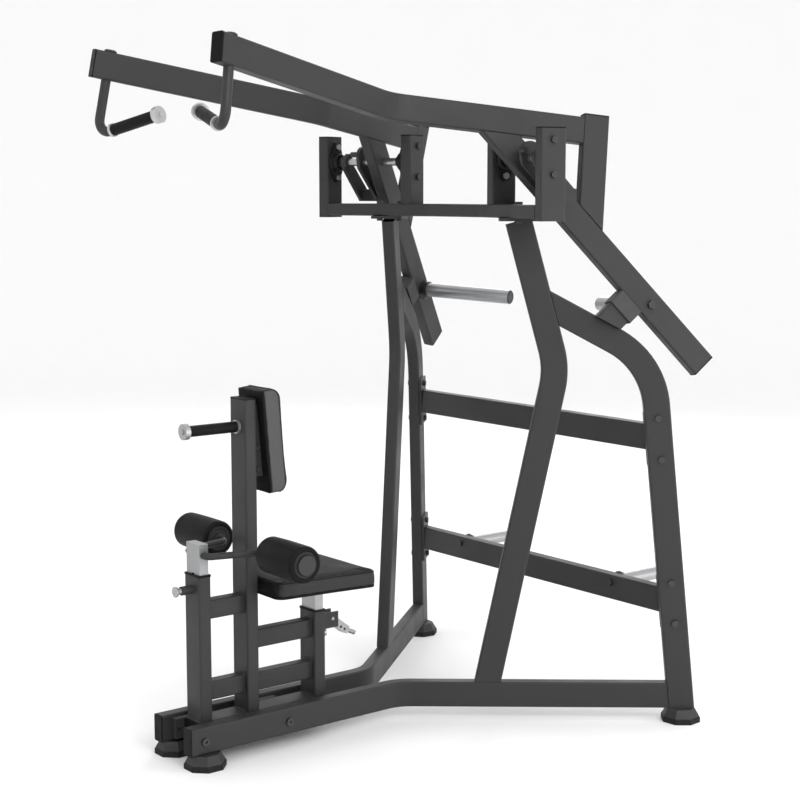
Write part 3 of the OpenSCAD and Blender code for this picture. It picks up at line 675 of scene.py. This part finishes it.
def swell(piece: Piece, pinned: Array, cap: float, voxel: float) -> None:
    """Cloth simulation that fills a pad: pressure inside, no gravity, motion capped.

    Args:
        piece: the closed pad, slightly too small; its mesh is replaced.
        pinned: (4,) plane; points with plane . (p, 1) below nought stay where they are.
        cap: furthest that a point may move, metres.
        voxel: size of the remesh, metres.
    """
    scene = bpy.context.scene
    remesh = piece.modifiers.new("even", "REMESH")
    remesh.mode, remesh.voxel_size = "VOXEL", voxel
    material = piece.data.materials[0]
    even = bpy.data.meshes.new_from_object(piece.evaluated_get(bpy.context.evaluated_depsgraph_get()))
    piece.modifiers.clear()
    piece.data = even
    start = np.empty(len(even.vertices) * 3)
    even.vertices.foreach_get("co", start)
    start = start.reshape(-1, 3)
    held = np.nonzero(start @ pinned[:3] + pinned[3] < 0)[0]
    piece.vertex_groups.new(name="board").add(held.tolist(), 1.0, "REPLACE")
    cloth = piece.modifiers.new("fill", "CLOTH")
    s = cloth.settings
    s.quality, s.mass = 5, 0.3
    s.tension_stiffness = s.compression_stiffness = 12
    s.shear_stiffness, s.bending_stiffness = 6, 0.6
    s.use_pressure, s.uniform_pressure_force = True, 4.0
    s.effector_weights.gravity = 0.0
    s.vertex_group_mass = "board"
    for frame_number in range(1, 21):
        scene.frame_set(frame_number)
    body = piece.evaluated_get(bpy.context.evaluated_depsgraph_get()).data
    end = np.empty(len(even.vertices) * 3)
    body.vertices.foreach_get("co", end)
    step = end.reshape(-1, 3) - start
    size = np.linalg.norm(step, axis=1, keepdims=True)
    step *= np.minimum(1, cap / np.maximum(size, 1e-9))
    piece.modifiers.clear()
    piece.vertex_groups.clear()
    scene.frame_set(1)
    even.vertices.foreach_set("co", (start + step).ravel())
    even.polygons.foreach_set("use_smooth", np.ones(len(even.polygons), bool))
    even.materials.clear()
    even.materials.append(material)
    even.update()
    LOG.info("%s: filled, %d points, largest move %.1f mm", piece.name, len(start), 1000 * size.max())


def settle(path: Array, target: Piece, offset: float) -> Array:
    """Lays path points on a surface's nearest places, by a shrinkwrap on a bare line of points."""
    mesh = bpy.data.meshes.new("seam_path")
    mesh.from_pydata(path, [], [])
    line = bpy.data.objects.new("seam_path", mesh)
    bpy.context.scene.collection.objects.link(line)
    wrap = line.modifiers.new("lay", "SHRINKWRAP")
    wrap.target, wrap.offset, wrap.wrap_method = target, offset, "NEAREST_SURFACEPOINT"
    laid = line.evaluated_get(bpy.context.evaluated_depsgraph_get()).data
    out = np.empty(len(laid.vertices) * 3)
    laid.vertices.foreach_get("co", out)
    bpy.data.objects.remove(line)
    return out.reshape(-1, 3)


@dataclass
class Pad:
    """Upholstered pad on a board: boxed sides, rounded top edge, crowned face, piped seam.

    Local x and y lie in the pad's face and z points out of its padded side; millimetres.
    """

    name: str
    node: str
    body: str
    matrix: Array
    corners: tuple[Triple, ...]
    thick: float
    board: float = 8.0
    edge: float = 6.0
    crown: float = 3.0
    pull: float = 2.0
    inset: float = 1.0
    nose: float = 0.0
    hold: float = 34.0
    cap: float = 0.003
    fill: float = 0.85
    # Depth of the painted light on the sides that face left and right.
    painted_light: float = 0.4
    vinyl: Material = field(default=None, repr=False)
    plastic: Material = field(default=None, repr=False)
    thread: Material = field(default=None, repr=False)

    def outline(self, inset: float = 0.0, per_edge: int = 36, per_corner: int = 12) -> tuple[Array, Array]:
        """Outline of the pad seen from its face.

        Formula: each corner is an arc of its radius about its centre, each edge the straight
        line between arcs, pulled in by a half sine between its corners.

        Args:
            inset: distance that the whole outline is brought in.
            per_edge: points on each edge.
            per_corner: points on each corner.

        Returns:
            Points and outward directions, both (n, 2), anticlockwise.
        """
        centres, radii = np.array(self.corners, float)[:, :2], np.array(self.corners, float)[:, 2]
        step = np.roll(centres, -1, 0) - centres
        heading = np.unwrap(np.arctan2(step[:, 1], step[:, 0]))
        points, normals = [], []
        for i, centre in enumerate(centres):
            before, after = heading[i - 1] - np.pi / 2, heading[i] - np.pi / 2
            after = before + (after - before) % (2 * np.pi)
            a = np.linspace(before, after, per_corner)
            n = np.stack([np.cos(a), np.sin(a)], 1)
            points.append(centre + n * (radii[i] - inset))
            normals.append(n)
            t = np.linspace(0, 1, per_edge + 2)[1:-1, None]
            n = np.repeat(n[-1:], per_edge, 0)
            bow = self.pull * np.sin(np.pi * t)
            reach = radii[i] + (radii[(i + 1) % len(radii)] - radii[i]) * t
            points.append(centre + step[i] * t + n * (reach - inset - bow))
            normals.append(n)
        return np.vstack(points), np.vstack(normals)

    def rounded(self, points: Array) -> Array:
        """Rounds the padded face off towards both ends of local y.

        Formula: past the last nose millimetres of the half length, the height is scaled so
        that the face follows a quarter circle of the nose radius.
        """
        if not self.nose:
            return points
        half = max(abs(c[1]) + c[2] for c in self.corners)
        past = np.clip(np.abs(points[:, 1]) - (half - self.nose), 0, self.nose)
        drop = self.nose - np.sqrt(np.maximum(self.nose ** 2 - past ** 2, 0))
        return np.column_stack([points[:, :2], points[:, 2] * (1 - drop / self.thick)])

    def shell(self, low: float, high: float, inset: float, edge: float,
              crown: float) -> tuple[Array, list[Array]]:
        """Closed slab with a rounded upper edge and a crowned face.

        Formula: rings follow the outline up the side, round a quarter circle of the edge
        radius, then shrink towards the middle while the height rises by the crown times one
        minus the square of the distance from the middle; single points close both faces.
        """
        rim, normal = self.outline(inset)
        middle = rim.mean(0)
        n = len(rim)
        rings = []
        for t in np.linspace(0.12, 1.0, 10):
            rings.append(np.column_stack([middle + (rim - normal * 2.0 - middle) * t, np.full(n, low)]))
        for h in np.linspace(low + 1.5, high - edge, 7):
            rings.append(np.column_stack([rim, np.full(n, h)]))
        for a in np.linspace(0, np.pi / 2, 8)[1:]:
            height = high - edge + edge * np.sin(a)
            rings.append(np.column_stack([rim - normal * edge * (1 - np.cos(a)), np.full(n, height)]))
        inner = rim - normal * edge
        for t in np.linspace(1, 0.08, 16)[1:]:
            height = high + crown * (1 - t * t)
            rings.append(np.column_stack([middle + (inner - middle) * t, np.full(n, height)]))
        grid = np.array(rings)
        points = np.vstack([grid.reshape(-1, 3), [*middle, low], [*middle, high + crown]])
        faces = [grid_faces(len(grid), n, False), *end_fans(len(grid), n, len(grid) * n)]
        return self.rounded(points) / 1000, faces

    def seam(self, cushion: Piece, height: float, inset: float) -> list[Piece]:
        """Piping bead and a row of stitches round the pad.

        Formula: the bead is a round tube along the outline laid on the cushion; each stitch
        is a short tapered tube along the same line, a little inside it.
        """
        rim, normal = self.outline(inset, 60, 14)
        path = self.rounded(np.column_stack([rim, np.full(len(rim), height)])) / 1000
        laid = settle(moved(path, self.matrix), cushion, 0.0002)
        bead_points, bead_faces = sweep(laid, np.full(len(laid), 0.0016), 10, True)
        bead = make_piece(f"{self.name}_piping", bead_points, bead_faces, self.vinyl)
        row = self.rounded(np.column_stack([rim, np.full(len(rim), height - 5.0)])) / 1000
        row = settle(moved(row, self.matrix), cushion, 0.0001)
        return [outward(bead), self.stitches(row)]

    def stitches(self, path: Array, pitch: float = 0.0046, length: float = 0.0030) -> Piece:
        """Stitches at an even pitch along a closed path, as one mesh of six-sided tubes.

        Formula: places are found at equal arc lengths; a stitch has four rings of radius
        0.15, 0.42, 0.42 and 0.15 mm along its chord.
        """
        loop = np.vstack([path, path[:1]])
        arc = np.concatenate([[0], np.cumsum(np.linalg.norm(np.diff(loop, axis=0), axis=1))])
        at = np.arange(0, arc[-1] - length, pitch)
        spots = at[:, None] + np.linspace(0, length, 4)[None, :]
        line = np.stack([np.interp(spots, arc, loop[:, k]) for k in range(3)], -1)
        along = line[:, -1] - line[:, 0]
        along /= np.linalg.norm(along, axis=1, keepdims=True)
        u = np.cross(along, self.matrix[:3, 2])
        u /= np.linalg.norm(u, axis=1, keepdims=True)
        v = np.cross(along, u)
        a = np.linspace(0, 2 * np.pi, 6, endpoint=False)
        ring = np.cos(a)[None, :, None] * u[:, None] + np.sin(a)[None, :, None] * v[:, None]
        radius = np.array([0.15, 0.42, 0.42, 0.15]) / 1000
        points = line[:, :, None] + ring[:, None] * radius[None, :, None, None]
        tube = grid_faces(4, 6, False)
        ends = np.array([[0, 5, 4, 3, 2, 1], [18, 19, 20, 21, 22, 23]])
        base = (np.arange(len(at)) * 24)[:, None, None]
        faces = [(tube[None] + base).reshape(-1, 4), (ends[None] + base).reshape(-1, 6)]
        return outward(make_piece(f"{self.name}_stitches", points, faces, self.thread))

    def paint_side_light(self, cushion: Piece) -> None:
        """Paints light on the faces turned to local left and right: a paler colour, as if lit from the side.

        Formula: the painted light rises from 0 to its given depth as the part of the surface's
        direction along local x goes from 0.55 to 0.80.
        """
        mesh = cushion.data
        normals = np.empty(len(mesh.vertices) * 3, np.float32)
        mesh.vertices.foreach_get("normal", normals)
        turned = np.abs(normals.reshape(-1, 3) @ self.matrix[:3, 0])
        side_light_mark = mesh.attributes.new("painted_side_light", "FLOAT", "POINT")
        lit_share = np.clip((turned - 0.55) / 0.25, 0, 1).astype(np.float32)
        side_light_mark.data.foreach_set("value", lit_share * self.painted_light)

    def build(self) -> list[Piece]:
        """Makes the cushion, its board and its seam, and gives them to the body."""
        points, faces = self.shell(self.board - 1, self.thick - self.crown, self.inset, self.edge, self.crown)
        cushion = outward(make_piece(self.name, moved(points, self.matrix), faces, self.vinyl))
        up = self.matrix[:3, 2]
        base = self.matrix[:3, 3] + up * self.hold / 1000
        swell(cushion, np.array([*up, -float(up @ base)]), self.cap, 0.0045)
        # Painted light on the sides that face left and right.
        self.paint_side_light(cushion)
        smooth = cushion.modifiers.new("smooth", "SUBSURF")
        smooth.levels = smooth.render_levels = 1
        points, faces = self.shell(0, self.board, self.inset + 1.0, 1.5, 0)
        board = outward(make_piece(f"{self.name}_board", moved(points, self.matrix), faces, self.plastic))
        seam = self.seam(cushion, self.thick - self.edge - self.crown, self.inset)
        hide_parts(self.node)
        for piece in (cushion, board, *seam):
            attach(piece, self.body)
        return [cushion, board, *seam]


@dataclass
class Roller:
    """Foam roller in a vinyl sleeve with gathered ends and moulded end discs; millimetres."""

    side: Side
    radius: float = 54.0
    rim: float = 9.0
    bore: float = 10.3
    recess: float = 3.0
    disc: float = 38.0
    vinyl: Material = field(default=None, repr=False)
    plastic: Material = field(default=None, repr=False)

    def sleeve(self, half: float) -> tuple[Array, list[Array]]:
        """The padded sleeve.

        Formula: the closed profile runs along a barely barrelled outside, round each rim in a
        quarter circle, down the end face into a shallow recess and back through the bore.
        Gathers are a cosine of 26 times the angle that grows towards the disc; a seam is a
        narrow dip along the underside.
        """
        q = np.linspace(0, np.pi / 2, 9)
        x_out = np.linspace(-half + self.rim, half - self.rim, 40)
        side = np.column_stack([x_out, self.radius - 1.4 * (x_out / half) ** 2])
        right = np.column_stack([half - self.rim + self.rim * np.sin(q),
                                 self.radius - 1.4 - self.rim + self.rim * np.cos(q)])[1:]
        floor = half - self.recess
        face = np.array([[half, self.disc + 4], [half - 0.8, self.disc + 2], [floor, self.disc + 0.5],
                         [floor, 25.0], [floor, self.bore]])
        bore = np.column_stack([np.linspace(half - 8, -half + 8, 6), np.full(6, self.bore)])
        left = np.array([-1.0, 1.0])
        profile = np.vstack([side, right, face, bore, face[::-1] * left, right[::-1] * left])
        a = np.linspace(0, 2 * np.pi, 144, endpoint=False)
        near_disc = np.exp(-((profile[:, 1] - self.disc - 3.5) / 3.0) ** 2)
        outside = (profile[:, 1] > self.radius - 3.5).astype(float)
        seam = np.exp(-((np.angle(np.exp(1j * (a - 4.1)))) / 0.022) ** 2)
        waves = 0.22 * np.sin(3 * a)[None] * np.sin(profile[:, :1] / 31.0) + 0.15 * np.sin(5 * a + 1.0)[None]
        gathers = near_disc[:, None] * 0.55 * np.cos(26 * a)[None]
        return revolve(profile, 144, gathers + outside[:, None] * (waves - 0.9 * seam[None]))

    def end_disc(self, half: float) -> tuple[Array, list[Array]]:
        """A dished end disc in the recess: a rounded rim, a ring groove and a raised boss."""
        face = half - self.recess
        profile = np.array([[face - 0.8, 10.4], [face + 2.4, 10.4], [face + 2.6, 11.0], [face + 2.6, 24.0],
                            [face + 2.0, 25.2], [face + 0.9, 26.0], [face + 0.9, 27.5], [face + 1.6, 29.0],
                            [face + 2.3, 32.0], [face + 2.2, 35.5], [face + 1.4, self.disc - 0.6],
                            [face + 0.4, self.disc], [face - 0.8, self.disc]])
        return revolve(profile, 96)

    def build(self) -> list[Piece]:
        """Makes the sleeve and two discs at the place of the CAD roller."""
        node = f"roller_{self.side.value}"
        low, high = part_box(node)
        middle = (np.array(low) + np.array(high)) / 2
        half = (high.x - low.x) * 500
        place = np.eye(4)
        place[:3, 3] = middle
        points, faces = self.sleeve(half)
        sleeve = outward(make_piece(f"{node}_sleeve", moved(points / 1000, place), faces, self.vinyl))
        discs = []
        for end, flip in (("outer", 1.0), ("inner", -1.0)):
            points, faces = self.end_disc(half)
            points = moved(points * np.array([flip, 1.0, 1.0]) / 1000, place)
            discs.append(outward(make_piece(f"{node}_{end}_disc", points, faces, self.plastic)))
        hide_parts(node)
        for piece in (sleeve, *discs):
            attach(piece, node)
        return [sleeve, *discs]


# ---------------------------------------------------------------- welds

@dataclass
class Welds:
    """Fillet weld beads where the tubes of the centre column meet; millimetres."""

    body: str = "frame"
    bead: float = 2.6
    coat: Material = field(default=None, repr=False)

    def loop(self, centre: Sequence[float], across: Sequence[float], up: Sequence[float],
             half: tuple[float, float], corner: float) -> Array:
        """Rounded rectangle in a plane, sampled about every 1.5 mm.

        Formula: straight sides joined by quarter circles, then even steps of arc length.
        """
        w, h = half
        q = np.linspace(0, np.pi / 2, 7)
        arc = np.stack([np.cos(q), np.sin(q)], 1) * corner
        spin = np.array([[0, -1], [1, 0]])
        rows, turned = [], arc
        for sx, sy in ((1, 1), (-1, 1), (-1, -1), (1, -1)):
            rows.append(turned + np.array([sx * (w - corner), sy * (h - corner)]))
            turned = turned @ spin.T
        flat = np.vstack([*rows, rows[0][:1]])
        arc_len = np.concatenate([[0], np.cumsum(np.linalg.norm(np.diff(flat, axis=0), axis=1))])
        at = np.linspace(0, arc_len[-1], int(arc_len[-1] / 1.5), endpoint=False)
        uv = np.stack([np.interp(at, arc_len, flat[:, k]) for k in (0, 1)], 1)
        return np.array(centre) + uv[:, :1] * np.array(across) + uv[:, 1:] * np.array(up)

    def ripple(self, count: int, phase: float) -> Array:
        """Bead radius along its path: scales every 3.6 mm with a slow wander."""
        s = np.arange(count) * 1.5
        scale = np.abs(np.sin(np.pi * s / 3.6))
        return (self.bead + 0.35 * scale + 0.25 * np.sin(s / 23.0 + phase)) / 1000

    def paths(self) -> list[Array]:
        """Every joint of the column: rails to posts, and posts to the bottom tube."""
        x, y, z = np.eye(3)
        found = []
        knee_bay = (KNEE_POST_Y + TUBE_DEPTH, CHEST_POST_Y)
        seat_bay = (CHEST_POST_Y + TUBE_DEPTH, SEAT_POST_Y)
        for bay, height in ((knee_bay, 152), (knee_bay, 392), (seat_bay, 150), (seat_bay, 279)):
            for at in bay:
                found.append(self.loop((0, at, height), x, z, (20, 28), 6))
        for front in (KNEE_POST_Y, CHEST_POST_Y, SEAT_POST_Y):
            for at in (front, front + TUBE_DEPTH):
                line = np.linspace(-34, 34, WELD_STEPS)
                found.append(np.column_stack([line, np.full(WELD_STEPS, at), np.full(WELD_STEPS, 70.0)]))
        return found

    def build(self) -> list[Piece]:
        """All beads as one piece."""
        points, faces, count = [], [], 0
        for i, path in enumerate(self.paths()):
            closed = len(path) != WELD_STEPS
            p, f = sweep(moved(path / 1000, BASE), self.ripple(len(path), i * 1.3), 8, closed)
            points.append(p)
            faces += [block + count for block in f]
            count += len(p)
        piece = make_piece("column_welds", np.vstack(points), faces, self.coat)
        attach(piece, self.body)
        return [piece]


# ---------------------------------------------------------------- machine

def built(kind: Any, *values: Any) -> Any:
    """Dataclass field that holds a finish's material."""
    return field(default_factory=lambda: kind(*values).material())


@dataclass
class Finishes:
    """Every finish of the machine, built once."""

    powder: Material = built(PowderCoat)
    brushed: Material = built(BrushedSteel)
    casting: Material = built(BlackCasting)
    rubber: Material = built(Rubber)
    block: Material = built(Rubber, "grey_bumper_rubber", (0.05, 0.05, 0.051))
    plastic: Material = built(CapPlastic)
    disc: Material = built(CapPlastic, "grey_disc_plastic", (0.026, 0.026, 0.027), (0.040, 0.040, 0.041))
    vinyl: Material = built(Vinyl)
    thread: Material = built(Thread)

    def turned(self, name: str, axis: Iterable[float], **changes: Any) -> Material:
        """Turned steel whose tool marks run round an axis."""
        return TurnedSteel(name, floats(axis), **changes).material()


@dataclass
class Metalwork:
    """Carried-over CAD parts and the finish that each of them gets."""

    finishes: Finishes
    nodes: dict[str, Piece]

    def table(self) -> dict[str, Material]:
        """Finish of each node that isn't plain powder coat."""
        f, made = self.finishes, {}
        zinc = f.turned("dark_plated_fasteners", (0.35, 0.93, 0.12), colour=(0.075, 0.075, 0.078),
                        rough=0.46)
        bright = f.turned("bearing_bolt_plating", (0.2, 0.97, 0.1), mirrored=True,
                          origin=(PIVOT[0] / 1000, 0.0, 0.0), bare=(0.0, 0.150))
        peg = f.turned("storage_peg_steel", (0, 1, 0), bare=(0.63, 9.0))
        bar = f.turned("chest_bar_steel", (0, 1, 0))
        made.update({"storage_peg_left": peg, "storage_peg_right": peg, "chest_bar": bar, "knee_pin": bar,
                     "seat_pin": bar, "frame_bolts": zinc, "bearing_bolts": bright, "chest_bolts": zinc,
                     "knee_slider": f.brushed, "seat_slider": f.brushed, "seat_lever": f.brushed,
                     "tube_caps": f.plastic, "bumpers": f.block, "foot_pads": f.rubber})
        made["chest_grip"] = GripRubber("chest_grip_rubber", (0.0, 1.0, 0.0)).material()
        for side in Side:
            grip = side.matrix @ handle_matrix()
            axis, at = floats(grip[:3, 0]), floats(grip[:3, 3])
            horn = side.matrix @ horn_matrix()
            shaft = side.matrix[:3, :3] @ turn("z", -SHAFT_YAW)[:3, 0]
            made[f"handle_{side.value}"] = HandleFinish(f"handle_finish_{side.value}", axis, at).material()
            made[f"handle_grip_{side.value}"] = GripRubber(f"grip_rubber_{side.value}", axis).material()
            made[f"weight_horn_{side.value}"] = f.turned(
                f"horn_steel_{side.value}", horn[:3, 0], origin=floats(horn[:3, 3]), bare=(-0.3595, -0.0445))
            made[f"pivot_shaft_{side.value}"] = f.turned(f"shaft_steel_{side.value}", shaft, rough=0.25)
            made[f"bearings_{side.value}"] = f.casting
            made[f"arm_caps_{side.value}"] = f.plastic
        return made

    def dress(self) -> None:
        """Gives every shown node its finish."""
        table = self.table()
        for name, node in self.nodes.items():
            material = table.get(name, self.finishes.powder)
            if not node.material_slots:
                node.data.materials.append(material)
            for slot in node.material_slots:
                slot.material = material
            LOG.info("%s: %s", name, material.name)


@dataclass
class Studio:
    """Pale floor, soft light and the camera."""

    camera_at: Triple = (3.9275, -2.2795 + FRONT_Y, 1.5782 + FOOT_H)
    azimuth: float = 51.63
    pitch: float = 7.25
    lens: float = 73.22

    def camera(self) -> None:
        """Camera at the viewing angle, depth of field off."""
        data = bpy.data.cameras.new("camera")
        data.lens, data.sensor_width, data.clip_end = self.lens, 36.0, 200.0
        data.dof.use_dof = False
        camera = bpy.data.objects.new("camera", data)
        bpy.context.scene.collection.objects.link(camera)
        a, p = math.radians(self.azimuth), math.radians(self.pitch)
        ahead = Vector((-math.sin(a) * math.cos(p), math.cos(a) * math.cos(p), -math.sin(p)))
        camera.location = self.camera_at
        camera.rotation_mode = "QUATERNION"
        camera.rotation_quaternion = ahead.to_track_quat("-Z", "Y")
        bpy.context.scene.camera = camera

    def lamp(self, name: str, at: Sequence[float], power: float, size: float) -> None:
        """Square soft light aimed at the machine's middle."""
        data = bpy.data.lights.new(name, "AREA")
        data.shape, data.size, data.energy = "SQUARE", size, power
        lamp = bpy.data.objects.new(name, data)
        bpy.context.scene.collection.objects.link(lamp)
        lamp.location = at
        lamp.rotation_mode = "QUATERNION"
        lamp.rotation_quaternion = (Vector((0, 0, 1.0)) - Vector(at)).to_track_quat("-Z", "Y")

    def build(self) -> None:
        """Floor, world, lights and camera.

        Formula: the floor is a disc whose rim curves up round the studio in a quarter circle,
        turned about the vertical.
        """
        bend = np.linspace(-np.pi / 2, 0, 13)
        cove = np.column_stack([9 + 4 * np.cos(bend), 4 + 4 * np.sin(bend)])
        section = np.vstack([[0.5, 0], [4, 0], cove, [13, 9]])
        around = np.linspace(0, 2 * np.pi, 72, endpoint=False)
        ring = np.stack([section[:, :1] * np.cos(around), section[:, :1] * np.sin(around),
                         np.repeat(section[:, 1:], 72, 1)], -1)
        points = np.vstack([ring.reshape(-1, 3), np.zeros((1, 3))])
        hub = np.stack([np.arange(72), np.roll(np.arange(72), -1), np.full(72, len(points) - 1)], 1)
        floor = make_piece("floor", points, [grid_faces(len(section), 72, False)[:, ::-1], hub],
                           StudioFloor().material())
        world = bpy.data.worlds.new("studio")
        world.use_nodes = True
        sky = world.node_tree.nodes["Background"]
        sky.inputs["Color"].default_value = (1.0, 1.0, 1.0, 1.0)
        sky.inputs["Strength"].default_value = 1.1
        bpy.context.scene.world = world
        self.lamp("key", (5.2, -1.2, 4.0), 130.0, 2.6)
        self.lamp("front", (-0.5, -5.2, 3.6), 14.0, 2.6)
        self.lamp("side", (3.4, 2.0, 0.9), 48.0, 2.2)
        self.lamp("back", (-3.6, 4.4, 3.8), 80.0, 2.4)
        bpy.context.scene.view_settings.view_transform = "Standard"
        self.camera()


def seat_matrix() -> Array:
    """Underside of the seat cushion, z up."""
    return chain(BASE, shift(0, 0, 414))


def chest_matrix() -> Array:
    """Back face of the chest pad: x across, y up the pad, z towards the user."""
    return chain(BASE, shift(0, CHEST_POST_Y + TUBE_DEPTH + 7.1, 975), turn("x", 5),
                 shift(0, 0, -110), turn("z", 180), turn("x", 90))


def main() -> None:
    """Builds the looks in order."""
    logging.basicConfig(level=logging.INFO, format="%(message)s")
    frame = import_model()
    Studio().build()
    finishes = Finishes()
    Metalwork(finishes, frame["nodes"]).dress()
    fabrics = {"vinyl": finishes.vinyl, "plastic": finishes.plastic, "thread": finishes.thread}
    parts = [
        Pad("seat_cushion", "seat_pad", "seat_carriage", seat_matrix(),
            ((-103, 312, 32), (103, 312, 32), (150, 593, 18), (-150, 593, 18)), 56, **fabrics),
        Pad("chest_cushion", "chest_pad", "frame", chest_matrix(),
            ((-56, -143, 10), (56, -143, 10), (56, 143, 10), (-56, 143, 10)), 68, edge=9, nose=34,
            hold=40, pull=1.5, painted_light=1.0, **fabrics),
        Roller(Side.LEFT, vinyl=finishes.vinyl, plastic=finishes.disc),
        Roller(Side.RIGHT, vinyl=finishes.vinyl, plastic=finishes.disc),
        Welds(coat=finishes.powder),
    ]
    for part in parts:
        for piece in part.build():
            LOG.info("%s: %d faces", piece.name, len(piece.data.polygons))


if __name__ == "__main__":
    main()
